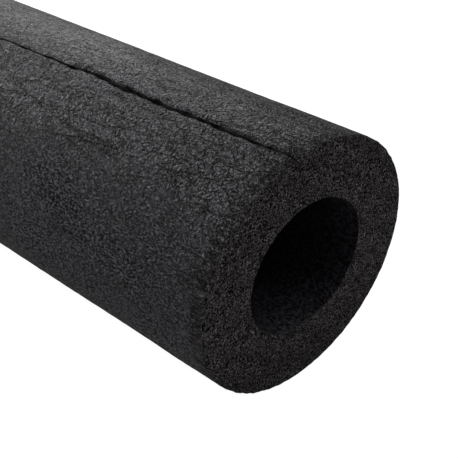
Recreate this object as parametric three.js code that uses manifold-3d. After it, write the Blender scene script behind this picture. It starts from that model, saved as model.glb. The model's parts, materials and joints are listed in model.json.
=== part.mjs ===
import * as THREE from 'three';
import { mergeVertices } from 'three/addons/utils/BufferGeometryUtils.js';
import Module from 'manifold-3d';

// A length of slit foam lagging for a 28 mm heating pipe.
// Millimetres, +Z up. The tube lies along X and touches z = 0 with its lowest facet.
// The +X end was cut by hand and leans a little. The -X end is square.

// Driving dimensions of the tube
const tubeLength = 1000;
const boreDiameter = 30;
const wallThickness = 13;
const ovalRadius = 0.47; // soft foam lies wider and lower than round by this much each way
const boreRise = 0.75; // the bore sits this far above the middle of the section
const boreShift = -0.39; // and this far to the side, along Y
const facets = 48;

// Driving dimensions of the cut end
const cutLeanUp = 2.48; // degrees, the top stands out
const cutLeanSide = 1.83; // degrees, the +Y side stands out

// Driving dimensions of the slit, which runs the whole length and opens into the bore
const slitAngle = 15.6; // degrees from the top, towards -Y
const slitSway = 1.5; // degrees that the knife wandered to each side
const slitSwayLength = 220;
const slitMouthWidth = 1;
const slitPinchWidth = 0.35;
const slitMouthSpacing = 90; // from one pinched place to the next, the first at the cut end
const slitMouthDepth = 4.5;
const slitGap = 0.1; // below the mouth the two faces all but touch
const slitStep = 10;
const slitOverrun = 3; // the knife passes every surface by this much

const foamColour = 0x343334;

// Sizes worked out from the driving dimensions
const boreRadius = boreDiameter / 2;
const tubeRadius = boreRadius + wallThickness;
const tubeHalfWidth = tubeRadius + ovalRadius;
const tubeHalfHeight = tubeRadius - ovalRadius;
const axisHeight = tubeHalfHeight * Math.cos(Math.PI / facets);
const leanUp = Math.tan(THREE.MathUtils.degToRad(cutLeanUp));
const leanSide = Math.tan(THREE.MathUtils.degToRad(cutLeanSide));
const cutReach = Math.hypot(leanUp * tubeHalfHeight, leanSide * tubeHalfWidth);

// Points round an ellipse, with a level facet at its bottom
function ellipsePoints(centre, halfWidth, halfHeight) {
  const points = [];
  for (let i = 0; i < facets; i += 1) {
    const angle = ((i + 0.5) / facets) * 2 * Math.PI;
    const across = centre.x + halfWidth * Math.cos(angle);
    const up = centre.y + halfHeight * Math.sin(angle);
    points.push(new THREE.Vector2(across, up));
  }
  return points;
}

// The ring of foam, drawn with Y across and Z up from the tube's axis
function tubeSection() {
  const middle = new THREE.Vector2(0, 0);
  const boreCentre = new THREE.Vector2(boreShift, boreRise);
  const section = new THREE.Shape(ellipsePoints(middle, tubeHalfWidth, tubeHalfHeight));
  const bore = ellipsePoints(boreCentre, boreRadius + ovalRadius, boreRadius - ovalRadius);
  section.holes.push(new THREE.Path(bore));
  return section;
}

// How far the leaning cut moves a point of the +X end along X
function cutOffset(y, z) {
  return leanSide * y + leanUp * (z - axisHeight) - cutReach;
}

function makeTube() {
  const geometry = new THREE.ExtrudeGeometry(tubeSection(), { depth: tubeLength, bevelEnabled: false });
  const lieAlongX = new THREE.Matrix4().makeBasis(
    new THREE.Vector3(0, 1, 0),
    new THREE.Vector3(0, 0, 1),
    new THREE.Vector3(1, 0, 0),
  );
  geometry.applyMatrix4(lieAlongX);
  geometry.translate(-tubeLength / 2, 0, axisHeight);
  const points = geometry.attributes.position;
  for (let i = 0; i < points.count; i += 1) {
    if (points.getX(i) > 0) {
      points.setX(i, tubeLength / 2 + cutOffset(points.getY(i), points.getZ(i)));
    }
  }
  return geometry;
}

// Angle of the slit from the top, at a distance from the cut end
function slitAngleAt(distance) {
  const sway = slitSway * Math.cos((2 * Math.PI * distance) / slitSwayLength);
  return THREE.MathUtils.degToRad(slitAngle - sway);
}

// Width of the slit's mouth on the skin, at a distance from the cut end
function slitMouthAt(distance) {
  const open = Math.sin((Math.PI * distance) / slitMouthSpacing) ** 2;
  return slitPinchWidth + (slitMouthWidth - slitPinchWidth) * open;
}

// The knife's path as a solid: a V at the skin over a thin blade down to the bore.
// It is extruded straight, then each station is widened and turned to its place.
function makeSlitBlade() {
  const mouthFloor = tubeRadius - slitMouthDepth;
  const top = tubeRadius + slitOverrun;
  const bottom = boreRadius - slitOverrun;
  const flare = (slitMouthDepth + slitOverrun) / slitMouthDepth;
  const profile = new THREE.Shape([
    new THREE.Vector2(-slitGap / 2, bottom),
    new THREE.Vector2(slitGap / 2, bottom),
    new THREE.Vector2(slitGap / 2, mouthFloor),
    new THREE.Vector2(slitMouthWidth / 2, top),
    new THREE.Vector2(-slitMouthWidth / 2, top),
    new THREE.Vector2(-slitGap / 2, mouthFloor),
  ]);
  const bladeLength = tubeLength + 2 * slitOverrun;
  const steps = Math.ceil(bladeLength / slitStep);
  const geometry = new THREE.ExtrudeGeometry(profile, { depth: bladeLength, steps, bevelEnabled: false });
  const points = geometry.attributes.position;
  for (let i = 0; i < points.count; i += 1) {
    const x = points.getZ(i) - bladeLength / 2;
    const radius = points.getY(i);
    const side = Math.sign(points.getX(i));
    const distance = tubeLength / 2 - x;
    const width = radius > tubeRadius ? slitGap + flare * (slitMouthAt(distance) - slitGap) : slitGap;
    const across = (side * width) / 2;
    const angle = slitAngleAt(distance);
    const y = across * Math.cos(angle) - radius * Math.sin(angle);
    const z = across * Math.sin(angle) + radius * Math.cos(angle);
    points.setXYZ(i, x, y, axisHeight + z);
  }
  return geometry;
}

function toSolid(wasm, geometry) {
  geometry.deleteAttribute('normal');
  geometry.deleteAttribute('uv');
  const merged = mergeVertices(geometry);
  const mesh = new wasm.Mesh({
    numProp: 3,
    vertProperties: merged.attributes.position.array,
    triVerts: new Uint32Array(merged.index.array),
  });
  return new wasm.Manifold(mesh);
}

function toGeometry(solid) {
  const mesh = solid.getMesh();
  const geometry = new THREE.BufferGeometry();
  geometry.setAttribute('position', new THREE.BufferAttribute(mesh.vertProperties, 3));
  geometry.setIndex(new THREE.BufferAttribute(mesh.triVerts, 1));
  geometry.computeVertexNormals();
  return geometry;
}

function makeFoamTube(wasm) {
  const tube = toSolid(wasm, makeTube());
  const blade = toSolid(wasm, makeSlitBlade());
  const material = new THREE.MeshStandardMaterial({
    color: foamColour,
    roughness: 0.92,
    metalness: 0,
    flatShading: true,
  });
  const mesh = new THREE.Mesh(toGeometry(tube.subtract(blade)), material);
  mesh.name = 'foam_tube';
  return mesh;
}

const wasm = await Module();
wasm.setup();

const group = new THREE.Group();
group.name = 'pipe_lagging';
group.add(makeFoamTube(wasm));

export default group;
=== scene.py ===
import json
import math

import bmesh
import bpy
import numpy as np
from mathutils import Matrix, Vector, noise


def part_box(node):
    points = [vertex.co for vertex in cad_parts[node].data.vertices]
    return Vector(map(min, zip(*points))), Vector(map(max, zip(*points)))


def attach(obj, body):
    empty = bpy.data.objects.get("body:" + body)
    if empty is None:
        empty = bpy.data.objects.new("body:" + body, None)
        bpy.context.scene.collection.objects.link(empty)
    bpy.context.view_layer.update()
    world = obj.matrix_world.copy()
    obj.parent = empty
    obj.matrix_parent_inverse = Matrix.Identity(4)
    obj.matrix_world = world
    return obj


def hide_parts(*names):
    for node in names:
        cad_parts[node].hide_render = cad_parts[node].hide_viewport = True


# One length of slit foam lagging, dressed as real foam: a creased skin, a cut end full of
# open cells, a dark bore, and a slit whose lips part and close along the tube.
# Shapes are worked out in millimetres and stored in metres.

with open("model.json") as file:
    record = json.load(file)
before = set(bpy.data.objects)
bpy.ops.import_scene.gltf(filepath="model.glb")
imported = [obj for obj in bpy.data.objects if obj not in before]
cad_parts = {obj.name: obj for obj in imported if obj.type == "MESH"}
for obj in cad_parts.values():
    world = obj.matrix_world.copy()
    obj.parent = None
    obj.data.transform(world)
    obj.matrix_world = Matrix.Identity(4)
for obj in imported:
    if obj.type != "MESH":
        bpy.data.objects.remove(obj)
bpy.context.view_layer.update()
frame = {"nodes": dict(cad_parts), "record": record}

MM = 0.001
NODE = "foam_tube"
FACETS = 48  # the CAD solid's sides, whose corners lie on the real round tube
SLIT_CLEARANCE = 6.0  # degrees either way of the slit in which the solid's points are on its walls
END_TOLERANCE = 0.01

# Slit, measured from the cut end, with angles from the top towards -Y, in degrees
SLIT_SWAY_LENGTH = 220.0
SLIT_ANGLE = 15.6
SLIT_SWAY = 1.5
SLIT_WALK = [  # distance and angle at places along the end that the photograph shows
    (0, 11.7), (5, 12.6), (8, 13.6),
    (20, 13.8), (40, 14.3), (57, 13.8),
    (60, 14.9), (78, 15.6), (88, 16.2),
]
SLIT_HANDOVER = (70, 110)  # from those places to the slow sway
SLIT_JITTER = 0.1
JITTER_WAVES = [(1.0, 2.3, 0.4), (0.7, 1.27, 2.0), (0.5, 4.9, 0.0)]  # share, length for each radian, phase
SLIT_GAP = 0.012

# The slit's mouth on the skin
MOUTH_WIDTH = 1.0
MOUTH_PINCH = 0.3
MOUTH_SPACING = 90.0
MOUTH_DEPTH = 4.5
MOUTH_CURVE = 1.4  # power by which the mouth narrows with depth
MOUTH_WALK = [  # distance and width, as for the slit's line
    (0, 0.2), (2, 0.3), (5, 0.75),
    (9, 0.7), (20, 1.0), (47, 1.1),
    (60, 0.75), (70, 0.5), (90, 0.42),
]
MOUTH_HANDOVER = (80, 100)
MOUTH_RAG = 0.42
MOUTH_RAG_LENGTHS = (0.9, 2.7)
WALK_REACH = 1.5
WALK_SAMPLES = 9

# Undulation: the noise's wavelengths, and how far each moves the skin, the bore's wall and the cut faces
WAVELENGTHS = (45.0, 11.0, 3.2, 1.3)
NOISE_SHIFTS = (17.3, -9.1, 5.7)  # from one noise to the next, so that they don't repeat each other
SKIN_WAVES = (0.12, 0.07, 0.05, 0.0)
BORE_WAVES = (0.18, 0.3, 0.06, 0.0)
CUT_WAVES = (0.0, 0.10, 0.07, 0.07)
CUT_WAVES_REACH = 0.25
FINE_EVERYWHERE = 0.04
FINE_AT_RIM = 0.16
FINE_FROM_RIM = 0.8

# Wear of the skin. Pairs are for the -Y side of the slit and for its other side.
RIM_ROUND = 0.15
RIM_ROUND_REACH = 0.35
TORN_BAND = 0.1  # cut foam shows this far onto the skin, and further beside the slit
TORN_AT_SLIT = 1.5
TORN_WIDTHS = (7.5, 2.4)
TORN_ROUND = 0.75
TORN_ROUND_REACH = 1.3
DENT_DEPTH = 0.45
DENT_WIDTHS = (2.2, 5.5)
DENT_REACH = 3.6
LIP_ROUND = 0.3
LIP_ROUND_REACH = 0.22
LIP_SWELL = 0.12
LIP_SWELL_AT = 1.1
LIP_SWELL_REACH = 0.8
LEAST_LIP = 0.25  # share of the lips' relief that is left where the mouth is pinched

# Painted light on the bore's wall at its mouths, in pools where light comes in through the open ends: angle
# from the top towards -Y in degrees, reach in radians, share
BORE_LIGHT_POOLS = [(165, 0.5, 0.9), (-55, 0.35, 0.5)]
BORE_LIGHT_ELSEWHERE = 0.2
BORE_LIGHT_DEPTH = 9.0

# The skin is creased by handling near its cut ends and its slit, more in some places than in others
CREASED_AT_RIM = 0.4
CREASED_FROM_RIM = 9.0
CREASED_WIDTHS = (16.0, 22.0)
CREASED_WAVES = (0.5, 0.3, 0.0, 0.0)

# Mesh density
SKIN_STEP = 0.47
LIP_STEP = 0.12
LIP_GROWTH = 1.3
NEAR_STEP = 1.1
NEAR_REACH = 104.0
FAR_STEP = 20.0
ROW_GROWTH = 1.16
END_ROWS = [0.12, 0.3, 0.6, 1.0, 1.5, 2.1, 2.8, 3.6]
BORE_COLUMNS = 150
BORE_ROW_SHARE = 3
CUT_RINGS = 30
FAR_RINGS = 5
WALL_LEVELS = 8
WALL_CROWDING = 1.3  # power that crowds the levels of the slit's walls towards the skin

# In the materials below, a tone is linear red, green and blue, and a pair of them is the darker and the
# lighter. A warp is a wavelength and an amount. An edge is the two values between which a pattern fades
# in, and shares are what it fades between.

# Cut foam
OPEN_CELL = 0.35
OPEN_CELL_EDGE = (0.72, 0.40)
OPEN_CELL_SHARES = (0.25, 1.0)  # each cell's wall is brighter or duller than the next
# the darker tone is painted shade in the sunk gaps between the open cells
CUT_TONES = (0.0014, 0.0012, 0.0013), (0.410, 0.368, 0.378)
CUT_WARP = (0.9, 0.35)
CUT_GRAIN = 0.33
CUT_GRAIN_EDGE = (0.40, 0.62)
CUT_GRAIN_SHARES = (0.35, 1.0)
DULL_PATCH = 2.1
DULL_EDGE = (0.30, 0.70)
DULL_SHARES = (0.35, 0.0)
DULL_TONE = (0.008, 0.007, 0.007)
PAINTED_SHADE_HEIGHTS = (2.0, 24.0)  # painted shade: the cut foam is darker low down
PAINTED_SHADE_SHARES = (0.66, 1.0)
CUT_LUMP = 1.7
CUT_LUMP_RELIEF = 0.12
CUT_WALL_RELIEF = 0.28
CUT_ROUGHNESS = (0.9, 0.55)
CUT_GLOSS = 0.08

# The slit's sliced walls
SLICE_STREAK = 0.5
SLICE_STREAK_EDGE = (0.35, 0.65)
SLICED_TONES = (0.010, 0.009, 0.010), (0.085, 0.078, 0.080)
SLICED_FROM_SLIT = (-0.02, 0.1)

# Plain skin
SKIN_WARP = (2.2, 0.9)
SKIN_LUMP = 1.6
SKIN_LUMP_RELIEF = 0.40
PORE = 0.30
PORE_EDGE = (0.80, 0.30)
PORE_SHARES = (0.35, 1.0)
PORE_WARP = (1.3, 0.5)
PORE_RELIEF = 0.60
PORED_EDGE = (1.0, 0.2)  # how creased the skin is where the pores fade in
STROKE = 0.31
STROKE_EDGE = (0.41, 0.58)
# painted shade: the darker tone sits in the sunk pores
PLAIN_TONES = (0.003, 0.003, 0.003), (0.252, 0.251, 0.279)
PLAIN_GLOSS = (0.06, 0.43)
PLAIN_ROUGHER = 0.14

# Creased skin
SKIN_GRAIN = 0.46
SKIN_GRAIN_EDGE = (0.34, 0.66)
SKIN_GRAIN_RELIEF = 0.55
GRAINED_EDGE = (0.0, 0.9)
GRAINED_SHARES = (0.25, 1.0)
CREASE = 0.70
CREASE_WARP = (1.2, 0.55)
CREASE_EDGE = (0.0, 0.05)
CREASE_RELIEF = 0.16
# painted shade in the sunk creases
CREASE_SHADE_TONE = (0.016, 0.016, 0.017)
UNCREASED_EDGE = (0.8, 0.1)
UNCREASED_SHARE = 0.8
CREASED_TONES = (0.072, 0.072, 0.079), (0.162, 0.161, 0.178)
CREASED_GLOSS = 0.25
SKIN_ROUGHNESS = (0.80, 0.42)  # in a crease, beside it

# Cracks, drawn as the edges of cells: the cells' stretch along the tube, their warp, size and edge, and
# the size and edge of the patches that have cracks
LONG_CRACKS = (0.14, (1.3, 0.7), 3.4, (0.015, 0.085), 9.0, (0.42, 0.50))
CRACKLE = (0.5, (0.8, 0.8), 1.5, (0.03, 0.105), 4.0, (0.38, 0.50))
RIM_SPLITS = (0.2, (1.1, 0.45), 1.1, (0.05, 0.17), 2.6, (0.36, 0.46))
PATCH_STRETCH = 0.5
LONG_CRACKS_EDGE = (0.2, 0.6)  # how creased the skin is where they fade in
SPLITS_FROM_TEAR = (3.3, 2.0)
CRACK_RELIEF = 0.22
# the cracks' own dark, with painted shade in them
CRACK_AND_SHADE_TONE = (0.003, 0.003, 0.003)

# Torn edges of the skin, whose raggedness counts for more at the cut ends than along the slit
RAG = 0.9
RAG_EDGE = (0.25, 0.75)
RAG_SHARES = (-0.45, 0.45)
RAG_AT_RIM = 1.6
RAG_AT_LIP = 0.45
TORN_EDGE_AT_RIM = (-0.1, 0.6)
TORN_EDGE_AT_LIP = (0.0, 0.18)

# Bore
BORE_LUMP = 3.0
BORE_GRAIN = 0.55
BORE_GRAIN_EDGE = (0.36, 0.62)
BORE_WARP = (1.8, 0.9)
BORE_RELIEF = 0.30
BORE_TONES = (0.009, 0.0075, 0.010), (0.036, 0.031, 0.040)
# painted light: paler tones for the bore's wall near its mouths
BORE_LIT_TONES = (0.009, 0.010, 0.011), (0.090, 0.095, 0.106)
BORE_ROUGHNESS = (0.85, 0.55)
BORE_GLOSS = 0.1

# Camera, as an offset in metres from the middle of the cut end, with angles in degrees
CAMERA_OFFSET = Vector((91.7, -117.7, 102.9)) * MM
CAMERA_AZIMUTH = 43.82
CAMERA_PITCH = 32.29
CAMERA_LENS = 73.27
CAMERA_CLIP = (0.005, 50)
SENSOR = 36.0

# Studio: an even sky over a glowing floor, broad soft lights around the tube and a weak one behind it
WHITE = (1, 1, 1, 1)
SKY_STRENGTH = 0.20
BACKDROP_GLOW = 1.05
FLOOR_GLOW = 0.97
FLOOR_TONE = 0.25
FLOOR_HALF = 6.0
LIGHT_ANGLE = 25.0
LIGHTS = [  # name, azimuth from -Y towards +X in degrees, elevation, strength
    ("far_end_light", 270, 12, 1.1),
    ("front_light", 305, 12, 0.65),
    ("mouth_light", 125, 40, 0.45),
]
SOFTBOX_PLACE = Vector((0.12, 0.22, 0.16))
SOFTBOX_AIM = Vector((0.36, 0, 0.03))
SOFTBOX_SIZE = 0.25
SOFTBOX_POWER = 0.5

SKIN, CUT, BORE = 0, 1, 2


# Sizes read from the frame, in millimetres

def read_tube():
    """The tube's outer ellipse, its bore and its two ends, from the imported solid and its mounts."""
    low, high = (np.array(corner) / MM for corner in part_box(NODE))
    grow = 1 / math.cos(math.pi / FACETS)
    points = np.array([v.co for v in frame["nodes"][NODE].data.vertices]) / MM
    axis = (low[2] + high[2]) / 2
    far_end = points[points[:, 0] < low[0] + END_TOLERANCE]
    radius = np.hypot(far_end[:, 1], far_end[:, 2] - axis)
    angle = np.degrees(np.arctan2(-far_end[:, 1], far_end[:, 2] - axis))
    beside_slit = np.abs(angle - SLIT_ANGLE) < SLIT_CLEARANCE
    bore = far_end[(radius < (radius.min() + radius.max()) / 2) & ~beside_slit]
    bore_low, bore_high = bore.min(0), bore.max(0)
    cut = next(m for m in frame["record"]["mounts"] if m["name"] == "cut_end")
    return {
        "low_x": low[0],
        "high_x": high[0],
        "axis": axis,
        "half_width": (high[1] - low[1]) / 2 * grow,
        "half_height": (high[2] - low[2]) / 2 * grow,
        "bore_y": (bore_low[1] + bore_high[1]) / 2,
        "bore_z": (bore_low[2] + bore_high[2]) / 2 - axis,
        "bore_half_width": (bore_high[1] - bore_low[1]) / 2 * grow,
        "bore_half_height": (bore_high[2] - bore_low[2]) / 2 * grow,
        "cut_point": np.array(cut["pos_m"]) / MM,
        "cut_normal": np.array(cut["axis"]),
    }


TUBE = read_tube()
LENGTH = TUBE["high_x"] - TUBE["low_x"]


# Outline of the section, as radii about the tube's axis

def outer_radius(angle):
    across = np.sin(angle) / TUBE["half_width"]
    up = np.cos(angle) / TUBE["half_height"]
    return 1 / np.hypot(across, up)


def bore_radius(angle):
    """Distance from the tube's axis to the bore's wall, whose middle is a little off the axis."""
    width, height = TUBE["bore_half_width"], TUBE["bore_half_height"]
    along_y, along_z = -np.sin(angle), np.cos(angle)
    a = (along_y / width) ** 2 + (along_z / height) ** 2
    b = -(along_y * TUBE["bore_y"] / width ** 2 + along_z * TUBE["bore_z"] / height ** 2)
    c = (TUBE["bore_y"] / width) ** 2 + (TUBE["bore_z"] / height) ** 2 - 1
    return (-b + np.sqrt(b * b - a * c)) / a


def cut_x(y, z):
    """Where the leaning cut crosses the tube, at a height z above the floor."""
    point, normal = TUBE["cut_point"], TUBE["cut_normal"]
    return point[0] - (normal[1] * (y - point[1]) + normal[2] * (z - point[2])) / normal[0]


# The slit

def walk(points, distance):
    """A smooth line through listed points."""
    xs, ys = zip(*points)
    shifts = np.linspace(-WALK_REACH, WALK_REACH, WALK_SAMPLES)
    return np.mean([np.interp(distance + shift, xs, ys) for shift in shifts], axis=0)


def handed_over(distance, span):
    """0 before a span, 1 past it, and a straight rise between."""
    low, high = span
    return np.clip((distance - low) / (high - low), 0, 1)


def slit_angle(distance):
    """Angle of the slit from the top, in radians: as photographed near the cut end, then a slow sway."""
    distance = np.asarray(distance, float)
    sway = SLIT_ANGLE - SLIT_SWAY * np.cos(2 * np.pi * distance / SLIT_SWAY_LENGTH)
    seen = walk(SLIT_WALK, distance)
    degrees = seen + (sway - seen) * handed_over(distance, SLIT_HANDOVER)
    jitter = sum(share * np.sin(distance / length + phase) for share, length, phase in JITTER_WAVES)
    return np.radians(degrees) + SLIT_JITTER * jitter / TUBE["half_height"]


def mouth_width(distance):
    """Width of the slit's mouth on the skin: as photographed near the cut end, then opening and closing."""
    distance = np.asarray(distance, float)
    open_share = np.sin(np.pi * distance / MOUTH_SPACING) ** 2
    slow = MOUTH_PINCH + (MOUTH_WIDTH - MOUTH_PINCH) * open_share
    seen = walk(MOUTH_WALK, distance)
    short, long = MOUTH_RAG_LENGTHS
    ragged = 1 + MOUTH_RAG * np.sin(distance / short) * np.sin(distance / long + 1)
    return (seen + (slow - seen) * handed_over(distance, MOUTH_HANDOVER)) * ragged


def slit_half_gap(distance, radius, outer):
    """Half the slit's width at a radius: a V at the skin, and closed foam below it."""
    share = np.clip((radius - (outer - MOUTH_DEPTH)) / MOUTH_DEPTH, 0, 1)
    return SLIT_GAP / 2 + (mouth_width(distance) - SLIT_GAP) / 2 * share ** MOUTH_CURVE


# Mesh gathering

class Surface:
    """Points and faces of one mesh, gathered patch by patch."""

    def __init__(self):
        self.points = []
        self.faces = []
        self.marks = []
        self.parts = []

    def add_points(self, points, part):
        first = len(self.points)
        flat = np.asarray(points).reshape(-1, 3)
        self.points.extend(flat)
        self.parts.extend([part] * len(flat))
        return first + np.arange(len(flat)).reshape(np.asarray(points).shape[:-1])

    def add_grid(self, ids, mark):
        for lower, upper in zip(ids[:-1], ids[1:]):
            for i in range(len(lower) - 1):
                self.faces.append((lower[i], lower[i + 1], upper[i + 1], upper[i]))
                self.marks.append(mark)

    def add_strip(self, first, second, first_at, second_at, mark):
        """Triangles between two lines of points with different spacing, given how far along each point is."""
        i, j = 0, 0
        while i < len(first) - 1 or j < len(second) - 1:
            step_first = j == len(second) - 1
            if not step_first and i < len(first) - 1:
                step_first = first_at[i + 1] + first_at[i] <= second_at[j + 1] + second_at[j]
            if step_first:
                self.faces.append((first[i], first[i + 1], second[j]))
                i += 1
            else:
                self.faces.append((first[i], second[j + 1], second[j]))
                j += 1
            self.marks.append(mark)


def skin_rows():
    """Distances of the mesh's rows from the cut end: close together where the photograph looks."""
    rows = [0.0] + END_ROWS
    while rows[-1] < NEAR_REACH:
        rows.append(rows[-1] + NEAR_STEP)
    near_count = len(rows)
    step = NEAR_STEP
    reached = rows[-1]
    far_tail = [LENGTH - row for row in [0.0] + END_ROWS][::-1]
    while reached + step < far_tail[0] - step / 2:
        reached += step
        rows.append(reached)
        step = min(step * ROW_GROWTH, FAR_STEP)
    return np.array(rows + far_tail), near_count


def bore_row_picks(rows, near_count):
    """Which of the rows the bore has: fewer, but always the first and last two."""
    picks = [0, 1] + list(range(len(END_ROWS), near_count, BORE_ROW_SHARE))
    picks += list(range(near_count, len(rows) - len(END_ROWS)))
    picks += [len(rows) - 2, len(rows) - 1]
    return sorted(set(picks))


def skin_columns():
    """Shares of the way round from one lip to the other, closer together at the lips."""
    around = 2 * math.pi * (TUBE["half_width"] + TUBE["half_height"]) / 2
    steps = [LIP_STEP]
    while steps[-1] * LIP_GROWTH < SKIN_STEP:
        steps.append(steps[-1] * LIP_GROWTH)
    edge = np.cumsum([0.0] + steps)
    count = round((around - 2 * edge[-1]) / SKIN_STEP)
    middle = np.linspace(edge[-1], around - edge[-1], count + 1)
    return np.concatenate([edge[:-1], middle, (around - edge[:-1])[::-1]]) / around


def section_points(distance, shares, depth):
    """Points round the tube at one distance from the cut end and one depth, 0 at the skin and 1 at the bore.

    shares run from the slit's -Y lip, down and round, to its other lip.
    """
    middle = slit_angle(distance)
    outer = outer_radius(middle)
    inner = bore_radius(middle)
    radius = outer + (inner - outer) * depth
    half = slit_half_gap(distance, radius, outer) / radius
    angle = middle + half + shares * (2 * np.pi - 2 * half)
    outer, inner = outer_radius(angle), bore_radius(angle)
    radius = outer + (inner - outer) * depth
    y = -radius * np.sin(angle)
    z = TUBE["axis"] + radius * np.cos(angle)
    share_of_length = 1 - distance / LENGTH
    x = TUBE["low_x"] + (cut_x(y, z) - TUBE["low_x"]) * share_of_length
    return np.stack([x, y, z], axis=-1)


def build_surface():
    """The whole tube as one closed surface: skin, two end faces, bore and the slit's two walls."""
    surface = Surface()
    rows, near_count = skin_rows()
    columns = skin_columns()
    bore_columns = np.linspace(0, 1, BORE_COLUMNS + 1)
    picks = bore_row_picks(rows, near_count)

    skin = surface.add_points([section_points(d, columns, 0.0) for d in rows], SKIN)
    bore = surface.add_points([section_points(rows[i], bore_columns, 1.0) for i in picks], BORE)
    surface.add_grid(skin, SKIN)
    surface.add_grid(bore, BORE)

    ends = []
    for row, rings, bore_row in ((0, CUT_RINGS, 0), (len(rows) - 1, FAR_RINGS, len(picks) - 1)):
        depths = np.linspace(0, 1, rings + 1)[1:-1]
        face = surface.add_points([section_points(rows[row], columns, d) for d in depths], CUT)
        face = np.concatenate([skin[row][None], face])
        surface.add_grid(face, CUT)
        surface.add_strip(face[-1], bore[bore_row], columns, bore_columns, CUT)
        ends.append((face, np.concatenate([[0.0], depths, [1.0]]), bore[bore_row]))

    level_depths = np.linspace(0, 1, WALL_LEVELS + 1)[1:-1] ** WALL_CROWDING
    all_depths = np.concatenate([[0.0], level_depths, [1.0]])
    inner_rows = rows[1:-1]
    bore_at = rows[picks[1:-1]]
    for side, share in ((0, 0.0), (-1, 1.0)):
        edge = np.array([share])
        levels = [[section_points(d, edge, depth)[0] for d in inner_rows] for depth in level_depths]
        wall = surface.add_points(levels, CUT)
        wall = np.concatenate([skin[1:-1, side][None], wall])
        surface.add_grid(wall, CUT)
        bore_edge = bore[1:-1, side]
        surface.add_strip(wall[-1], bore_edge, inner_rows, bore_at, CUT)
        for (face, depths, bore_ring), place in zip(ends, (0, -1)):
            end_line = np.append(face[:, side], bore_ring[side])
            wall_line = np.append(wall[:, place], bore_edge[place])
            surface.add_strip(end_line, wall_line, depths, all_depths, CUT)
    return surface


# Relief of the real foam, moved into the mesh's points

def smooth_noise(points, wavelength, seed):
    shift = Vector([seed * step for step in NOISE_SHIFTS])
    scale = 1 / wavelength
    return np.array([noise.noise(Vector(p) * scale + shift) for p in points])


def summed(waves, heights):
    return sum(height * wave for height, wave in zip(heights, waves))


def wrapped(angle):
    """The same angle between -pi and pi."""
    return (angle + np.pi) % (2 * np.pi) - np.pi


def fade(distance, reach, power=1):
    """1 at no distance, falling away beyond the reach, with a flatter top for a higher power."""
    return np.exp(-((distance / reach) ** power))


def relief(points, parts):
    """Moves the points off the plain shape: undulation, the end's dent, lips and ragged rims.

    Also gives each point's distance in millimetres from the torn edge of the skin at the nearer cut
    end and from the slit's lip, how much painted light the bore's wall has there and how creased the skin is.
    """
    y, z = points[:, 1], points[:, 2] - TUBE["axis"]
    radius = np.hypot(y, z)
    angle = np.arctan2(-y, z)
    from_cut = np.maximum(cut_x(points[:, 1], points[:, 2]) - points[:, 0], 0.0)
    from_far = np.maximum(points[:, 0] - TUBE["low_x"], 0.0)
    from_rim = np.minimum(from_cut, from_far)
    outer, inner = outer_radius(angle), bore_radius(angle)
    depth = np.clip((outer - radius) / (outer - inner), 0, 1)
    outward = np.stack([np.zeros_like(y), y / radius, z / radius], axis=-1)
    waves = [smooth_noise(points, wavelength, seed) for seed, wavelength in enumerate(WAVELENGTHS, 1)]
    fine = waves[-1]

    # The skin undulates, rounds off at the cut ends, and dents beside the slit at the cut end
    arc = wrapped(angle - slit_angle(from_cut)) * outer
    torn = fade(arc, np.where(arc > 0, *TORN_WIDTHS), power=2) * (from_cut < from_far)
    dent = DENT_DEPTH * fade(arc, np.where(arc > 0, *DENT_WIDTHS), power=2)
    dent *= fade(from_cut, DENT_REACH, power=1.5)
    rounding = RIM_ROUND * fade(from_rim, RIM_ROUND_REACH)
    rounding += TORN_ROUND * torn * fade(from_cut, TORN_ROUND_REACH, power=1.5)
    from_lip = np.abs(arc) - mouth_width(from_cut) / 2
    lip = LIP_SWELL * fade(from_lip - LIP_SWELL_AT, LIP_SWELL_REACH, power=2)
    lip -= LIP_ROUND * fade(np.clip(from_lip, 0, None), LIP_ROUND_REACH)
    lip *= np.clip(mouth_width(from_cut) / MOUTH_WIDTH, LEAST_LIP, 1)
    ragged = FINE_AT_RIM * fine * fade(from_cut, FINE_FROM_RIM) + FINE_EVERYWHERE * fine
    skin_move = summed(waves, SKIN_WAVES) - dent - rounding + lip + ragged
    move = (1 - depth) ** 2 * skin_move + depth ** 2 * summed(waves, BORE_WAVES)

    # The cut faces are not quite flat, and their cells stand and sink
    near_cut = fade(from_cut, CUT_WAVES_REACH) * (parts == CUT)
    near_far = fade(from_far, CUT_WAVES_REACH) * (parts == CUT)
    along = summed(waves, CUT_WAVES) * (near_cut - near_far)

    moved = points + outward * move[:, None]
    moved[:, 0] += along
    moved[:, 2] = np.maximum(moved[:, 2], 0.0)

    from_tear = from_rim - TORN_BAND - TORN_AT_SLIT * torn
    # painted light: pools of light on the bore's wall near its mouths, fading towards the inside
    turns = [wrapped(angle - np.radians(place)) for place, _, _ in BORE_LIGHT_POOLS]
    light_pools = [share * fade(turn, reach, power=2) for turn, (_, reach, share) in zip(turns, BORE_LIGHT_POOLS)]
    painted_bore_light = (BORE_LIGHT_ELSEWHERE + sum(light_pools)) * np.clip(1 - from_rim / BORE_LIGHT_DEPTH, 0, 1)
    creased = fade(arc, np.where(arc > 0, *CREASED_WIDTHS), power=4)
    creased += CREASED_AT_RIM * fade(from_rim, CREASED_FROM_RIM, power=2)
    creased = np.clip(creased + summed(waves, CREASED_WAVES), 0, 1)
    return moved, {"from_tear": from_tear, "from_slit": from_lip, "painted_bore_light": painted_bore_light, "creased": creased}


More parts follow.
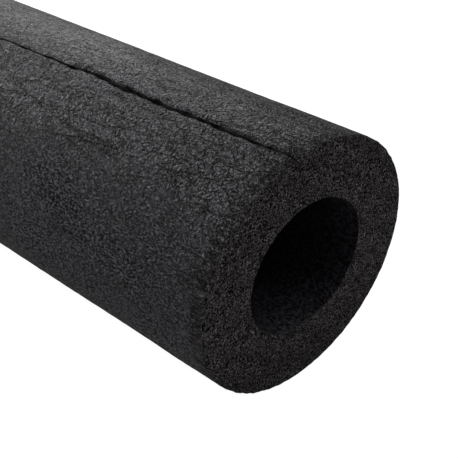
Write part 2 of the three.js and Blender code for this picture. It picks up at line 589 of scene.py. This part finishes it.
def make_tube():
    surface = build_surface()
    points, fields = relief(np.array(surface.points), np.array(surface.parts))
    mesh = bpy.data.meshes.new("lagging_tube")
    mesh.from_pydata((points * MM).tolist(), [], [tuple(int(i) for i in face) for face in surface.faces])
    mesh.polygons.foreach_set("material_index", surface.marks)
    for name, values in fields.items():
        mesh.attributes.new(name, "FLOAT", "POINT").data.foreach_set("value", values.astype(np.float32))
    work = bmesh.new()
    work.from_mesh(mesh)
    bmesh.ops.recalc_face_normals(work, faces=work.faces)
    for face in work.faces:
        face.smooth = True
    for edge in work.edges:
        edge.smooth = len({face.material_index for face in edge.link_faces}) == 1
    work.to_mesh(mesh)
    work.free()
    made = bpy.data.objects.new("lagging_tube", mesh)
    bpy.context.scene.collection.objects.link(made)
    return made


# Materials

def new_material(name):
    made = bpy.data.materials.new(name)
    made.use_nodes = True
    made.node_tree.nodes.clear()
    return made


class Nodes:
    """Short calls for building one material's nodes."""

    def __init__(self, material):
        self.tree = material.node_tree

    def add(self, kind, inputs=None, **settings):
        node = self.tree.nodes.new(kind)
        for key, value in settings.items():
            setattr(node, key, value)
        for key, value in (inputs or {}).items():
            if isinstance(value, bpy.types.NodeSocket):
                self.tree.links.new(value, node.inputs[key])
            else:
                node.inputs[key].default_value = value
        return node

    def vector_math(self, operation, inputs):
        return self.add("ShaderNodeVectorMath", inputs, operation=operation).outputs[0]

    def place(self, along=1):
        """Position on the object in millimetres, stretched along the tube."""
        coordinate = self.add("ShaderNodeTexCoord").outputs["Object"]
        return self.vector_math("MULTIPLY", {0: coordinate, 1: (along / MM, 1 / MM, 1 / MM)})

    def height(self):
        """Height above the surface that the tube lies on, in millimetres."""
        return self.add("ShaderNodeSeparateXYZ", {0: self.place()}).outputs["Z"]

    def warp(self, vector, wavelength, amount):
        """The position pushed about by soft noise, so that patterns don't run straight."""
        wave = self.add("ShaderNodeTexNoise", {"Vector": vector, "Scale": 1 / wavelength, "Detail": 1.0})
        centred = self.vector_math("SUBTRACT", {0: wave.outputs["Color"], 1: (0.5, 0.5, 0.5)})
        push = self.vector_math("SCALE", {0: centred, "Scale": amount})
        return self.vector_math("ADD", {0: vector, 1: push})

    def noise(self, vector, wavelength, detail=1.0, roughness=0.5):
        inputs = {"Vector": vector, "Scale": 1 / wavelength, "Detail": detail, "Roughness": roughness}
        return self.add("ShaderNodeTexNoise", inputs).outputs["Fac"]

    def cells(self, vector, size, feature="F1"):
        """Distance from the nearest cell's middle, or from its edge, as a share of the size."""
        inputs = {"Vector": vector, "Scale": 1 / size}
        return self.add("ShaderNodeTexVoronoi", inputs, feature=feature).outputs["Distance"]

    def cell_shade(self, vector, size):
        """A random number for each cell, the cells being those that cells() draws at this size."""
        colour = self.add("ShaderNodeTexVoronoi", {"Vector": vector, "Scale": 1 / size}).outputs["Color"]
        return self.add("ShaderNodeSeparateColor", {"Color": colour}).outputs[0]

    def range(self, value, low, high, new_low=0.0, new_high=1.0):
        """Carries the values from low to high over to a new range, with a soft start and end."""
        inputs = {"Value": value, "From Min": low, "From Max": high, "To Min": new_low, "To Max": new_high}
        return self.add("ShaderNodeMapRange", inputs, interpolation_type="SMOOTHSTEP").outputs["Result"]

    def spread(self, pattern, shares):
        """Carries a pattern from 0 to 1 over to two shares."""
        return self.range(pattern, 0.0, 1.0, *shares)

    def math(self, operation, first, second=0.0):
        return self.add("ShaderNodeMath", {0: first, 1: second}, operation=operation).outputs[0]

    def blend(self, share, first, second):
        """A number between two others."""
        return self.add("ShaderNodeMix", {0: share, 2: first, 3: second}, data_type="FLOAT").outputs[0]

    def attribute(self, name):
        """A number stored on the mesh's points."""
        return self.add("ShaderNodeAttribute", attribute_name=name).outputs["Fac"]

    def mix_colour(self, share, first, second):
        """A colour between two others, each given as a socket or as plain numbers."""
        plain = {6: first, 7: second}
        colours = {key: (*value, 1.0) if isinstance(value, tuple) else value for key, value in plain.items()}
        return self.add("ShaderNodeMix", {0: share, **colours}, data_type="RGBA").outputs[2]

    def bump(self, height, distance, strength=1.0, normal=None):
        """Relief of a height from 0 to 1 that stands distance millimetres at most."""
        inputs = {"Height": height, "Distance": distance * MM, "Strength": strength}
        if normal is not None:
            inputs["Normal"] = normal
        return self.add("ShaderNodeBump", inputs).outputs["Normal"]

    def finish(self, colour, roughness, normal, specular):
        shader = self.add(
            "ShaderNodeBsdfPrincipled",
            {"Base Color": colour, "Roughness": roughness, "Normal": normal, "Specular IOR Level": specular},
        )
        self.add("ShaderNodeOutputMaterial", {"Surface": shader.outputs[0]})


def cut_look(n):
    """Tone and relief of cut foam: torn cell walls, each brighter or duller, with painted shade in the gaps
    between them and low down.
    """
    place = n.warp(n.place(), *CUT_WARP)
    grain = n.range(n.noise(place, CUT_GRAIN, detail=1.0, roughness=0.6), *CUT_GRAIN_EDGE)
    gaps = n.range(n.cells(place, OPEN_CELL), *OPEN_CELL_EDGE)
    walls = n.math("MULTIPLY", n.spread(grain, CUT_GRAIN_SHARES), gaps)
    shade = n.math("MULTIPLY", walls, n.spread(n.cell_shade(place, OPEN_CELL), OPEN_CELL_SHARES))
    # painted shade: the cut faces darken towards the bottom
    shade = n.math("MULTIPLY", shade, n.range(n.height(), *PAINTED_SHADE_HEIGHTS, *PAINTED_SHADE_SHARES))
    dull = n.range(n.noise(n.place(), DULL_PATCH), *DULL_EDGE, *DULL_SHARES)
    return n.mix_colour(dull, n.mix_colour(shade, *CUT_TONES), DULL_TONE), walls


def crack_lines(n, kind, share):
    """Cracks of one kind in its patches, where the share is above 0: 0 in a crack and 1 beside it."""
    along, warp, size, edge, patch_size, patch_edge = kind
    lines = n.range(n.cells(n.warp(n.place(along), *warp), size, "DISTANCE_TO_EDGE"), *edge)
    patches = n.range(n.noise(n.place(PATCH_STRETCH), patch_size), *patch_edge)
    patches = n.math("MULTIPLY", patches, share)
    return n.math("MAXIMUM", lines, n.math("SUBTRACT", 1.0, patches))


def skin_cracks(n, creased):
    """Long cracks and crackle where the skin is creased, and short splits at the cut ends."""
    cracks = crack_lines(n, LONG_CRACKS, n.range(creased, *LONG_CRACKS_EDGE))
    cracks = n.math("MINIMUM", cracks, crack_lines(n, CRACKLE, creased))
    near_tear = n.range(n.attribute("from_tear"), *SPLITS_FROM_TEAR)
    return n.math("MINIMUM", cracks, crack_lines(n, RIM_SPLITS, near_tear))


def skin_flakes(n, creased):
    """Flakes between winding creases, which are deep only where the skin is creased."""
    winding = n.noise(n.warp(n.place(along=0.6), *CREASE_WARP), CREASE)
    from_crease = n.math("ABSOLUTE", n.math("SUBTRACT", winding, 0.5))
    uncreased = n.range(creased, *UNCREASED_EDGE, 0.0, UNCREASED_SHARE)
    return n.math("MAXIMUM", n.range(from_crease, *CREASE_EDGE), uncreased)


def skin_pores(n):
    """Fine strokes along the plain skin between small pores, which are dark with painted shade."""
    place = n.warp(n.place(along=0.5), *PORE_WARP)
    pores = n.range(n.cells(place, PORE), *PORE_EDGE)
    strokes = n.range(n.noise(place, STROKE), *STROKE_EDGE)
    return n.math("MULTIPLY", n.spread(pores, PORE_SHARES), strokes)


def skin_grain(n):
    """Fine grain of the creased skin."""
    place = n.warp(n.place(along=0.75), *CREASE_WARP)
    return n.range(n.noise(place, SKIN_GRAIN, detail=1.0, roughness=0.6), *SKIN_GRAIN_EDGE)


def torn_edges(n, tone):
    """The skin's tone, with cut foam past a ragged line at the cut ends and along the slit."""
    torn, _ = cut_look(n)
    rag = n.range(n.noise(n.place(), RAG, detail=2.0, roughness=0.6), *RAG_EDGE, *RAG_SHARES)
    rim = n.math("ADD", n.attribute("from_tear"), n.math("MULTIPLY", rag, RAG_AT_RIM))
    lip = n.math("ADD", n.attribute("from_slit"), n.math("MULTIPLY", rag, RAG_AT_LIP))
    whole = n.math("MULTIPLY", n.range(rim, *TORN_EDGE_AT_RIM), n.range(lip, *TORN_EDGE_AT_LIP))
    return n.mix_colour(whole, torn, tone)


def skin_material():
    """Thin extruded skin: finely pored where it is plain, flaky and cracked where it is creased."""
    made = new_material("foam_skin")
    n = Nodes(made)
    creased = n.attribute("creased")
    grain = skin_grain(n)
    flakes = skin_flakes(n, creased)
    pores = skin_pores(n)
    cracks = skin_cracks(n, creased)

    normal = n.bump(n.noise(n.warp(n.place(), *SKIN_WARP), SKIN_LUMP), SKIN_LUMP_RELIEF)
    normal = n.bump(pores, PORE_RELIEF, n.range(creased, *PORED_EDGE), normal)
    normal = n.bump(grain, SKIN_GRAIN_RELIEF, n.range(creased, *GRAINED_EDGE, *GRAINED_SHARES), normal)
    normal = n.bump(flakes, CREASE_RELIEF, 1.0, normal)
    normal = n.bump(cracks, CRACK_RELIEF, 1.0, normal)

    # painted shade: pores, creases and cracks are darkened in tone as well as sunk by the bumps above
    tone = n.mix_colour(creased, n.mix_colour(pores, *PLAIN_TONES), n.mix_colour(grain, *CREASED_TONES))
    tone = n.mix_colour(flakes, CREASE_SHADE_TONE, tone)
    tone = n.mix_colour(cracks, CRACK_AND_SHADE_TONE, tone)
    rougher = n.range(creased, 1.0, 0.0, 0.0, PLAIN_ROUGHER)
    roughness = n.math("ADD", n.spread(flakes, SKIN_ROUGHNESS), rougher)
    gloss = n.blend(creased, n.spread(pores, PLAIN_GLOSS), CREASED_GLOSS)
    n.finish(torn_edges(n, tone), roughness, normal, gloss)
    return made


def cut_material():
    """The two cut ends, full of open cells, and the slit's sliced walls."""
    made = new_material("foam_cut_face")
    n = Nodes(made)
    tone, walls = cut_look(n)
    streaks = n.range(n.noise(n.place(along=0.2), SLICE_STREAK), *SLICE_STREAK_EDGE)
    sliced = n.mix_colour(streaks, *SLICED_TONES)
    tone = n.mix_colour(n.range(n.attribute("from_slit"), *SLICED_FROM_SLIT), sliced, tone)
    normal = n.bump(n.noise(n.place(), CUT_LUMP, detail=2.0), CUT_LUMP_RELIEF)
    normal = n.bump(walls, CUT_WALL_RELIEF, 1.0, normal)
    n.finish(tone, n.spread(walls, CUT_ROUGHNESS), normal, CUT_GLOSS)
    return made


def bore_material():
    """The bore's wall: a dull dark skin with fine drag lines, and painted light that makes it paler at its
    mouths.
    """
    made = new_material("foam_bore")
    n = Nodes(made)
    place = n.warp(n.place(along=0.6), *BORE_WARP)
    grain = n.range(n.noise(place, BORE_GRAIN, detail=2.0, roughness=0.6), *BORE_GRAIN_EDGE)
    normal = n.bump(n.noise(n.place(), BORE_LUMP), BORE_RELIEF)
    normal = n.bump(grain, BORE_RELIEF, 1.0, normal)
    dull = n.mix_colour(grain, *BORE_TONES)
    painted_lit = n.mix_colour(grain, *BORE_LIT_TONES)
    # painted light: the bore's wall is paler near its mouths, where light comes in
    tone = n.mix_colour(n.attribute("painted_bore_light"), dull, painted_lit)
    n.finish(tone, n.spread(grain, BORE_ROUGHNESS), normal, BORE_GLOSS)
    return made


# Studio

def towards(azimuth, elevation):
    """Direction of a place seen from the tube, by degrees from -Y towards +X and degrees up."""
    turn, lift = math.radians(azimuth), math.radians(elevation)
    return Vector((math.sin(turn) * math.cos(lift), -math.cos(turn) * math.cos(lift), math.sin(lift)))


def add_facing(name, data, forward):
    """Puts a camera or a light in the scene, facing forward."""
    made = bpy.data.objects.new(name, data)
    made.rotation_mode = "QUATERNION"
    made.rotation_quaternion = forward.to_track_quat("-Z", "Y")
    bpy.context.scene.collection.objects.link(made)
    return made


def make_camera():
    data = bpy.data.cameras.new("camera")
    data.sensor_width = SENSOR
    data.lens = CAMERA_LENS
    data.clip_start, data.clip_end = CAMERA_CLIP
    camera = add_facing("camera", data, -towards(CAMERA_AZIMUTH, CAMERA_PITCH))
    cut_middle = Vector((cut_x(0.0, TUBE["axis"]), 0.0, TUBE["axis"])) * MM
    camera.location = cut_middle + CAMERA_OFFSET
    bpy.context.scene.camera = camera


def make_floor():
    """A pale floor that glows, so that it renders white, and that casts no light on the tube."""
    mesh = bpy.data.meshes.new("floor")
    corners = [(x * FLOOR_HALF, y * FLOOR_HALF, 0) for x, y in ((-1, -1), (1, -1), (1, 1), (-1, 1))]
    mesh.from_pydata(corners, [], [(0, 1, 2, 3)])
    floor = bpy.data.objects.new("floor", mesh)
    bpy.context.scene.collection.objects.link(floor)
    material = new_material("pale_floor")
    n = Nodes(material)
    diffuse = n.add("ShaderNodeBsdfDiffuse", {"Color": (FLOOR_TONE, FLOOR_TONE, FLOOR_TONE, 1)})
    glow = n.add("ShaderNodeEmission", {"Color": WHITE, "Strength": FLOOR_GLOW})
    both = n.add("ShaderNodeAddShader", {0: diffuse.outputs[0], 1: glow.outputs[0]})
    n.add("ShaderNodeOutputMaterial", {"Surface": both.outputs[0]})
    mesh.materials.append(material)
    floor.visible_diffuse = False
    floor.visible_glossy = False
    floor.visible_shadow = False


def add_soft_sun(name, azimuth, elevation, strength):
    """A broad soft light far away, so that it falls evenly along the whole tube."""
    data = bpy.data.lights.new(name, "SUN")
    data.angle = math.radians(LIGHT_ANGLE)
    data.energy = strength
    add_facing(name, data, -towards(azimuth, elevation))


def add_softbox():
    """A square soft light behind the tube, facing the tube."""
    data = bpy.data.lights.new("back_light", "AREA")
    data.shape = "SQUARE"
    data.size = SOFTBOX_SIZE
    data.energy = SOFTBOX_POWER
    light = add_facing("back_light", data, SOFTBOX_AIM - SOFTBOX_PLACE)
    light.location = SOFTBOX_PLACE
    light.visible_camera = False


def make_sky():
    """An even sky that lights the tube, with a white backdrop in its place for the camera."""
    world = bpy.data.worlds.new("studio")
    world.use_nodes = True
    sky = world.node_tree.nodes["Background"]
    sky.inputs["Color"].default_value = WHITE
    sky.inputs["Strength"].default_value = SKY_STRENGTH
    n = Nodes(world)
    backdrop = n.add("ShaderNodeBackground", {"Color": WHITE, "Strength": BACKDROP_GLOW})
    seen = n.add("ShaderNodeLightPath").outputs["Is Camera Ray"]
    both = n.add("ShaderNodeMixShader", {0: seen, 1: sky.outputs[0], 2: backdrop.outputs[0]})
    n.tree.links.new(both.outputs[0], world.node_tree.nodes["World Output"].inputs["Surface"])
    bpy.context.scene.world = world


def make_studio():
    make_sky()
    for light in LIGHTS:
        add_soft_sun(*light)
    add_softbox()
    bpy.context.scene.view_settings.view_transform = "Standard"


make_camera()
tube = make_tube()
for material in (skin_material(), cut_material(), bore_material()):
    tube.data.materials.append(material)
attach(tube, "root")
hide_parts(NODE)
make_floor()
make_studio()
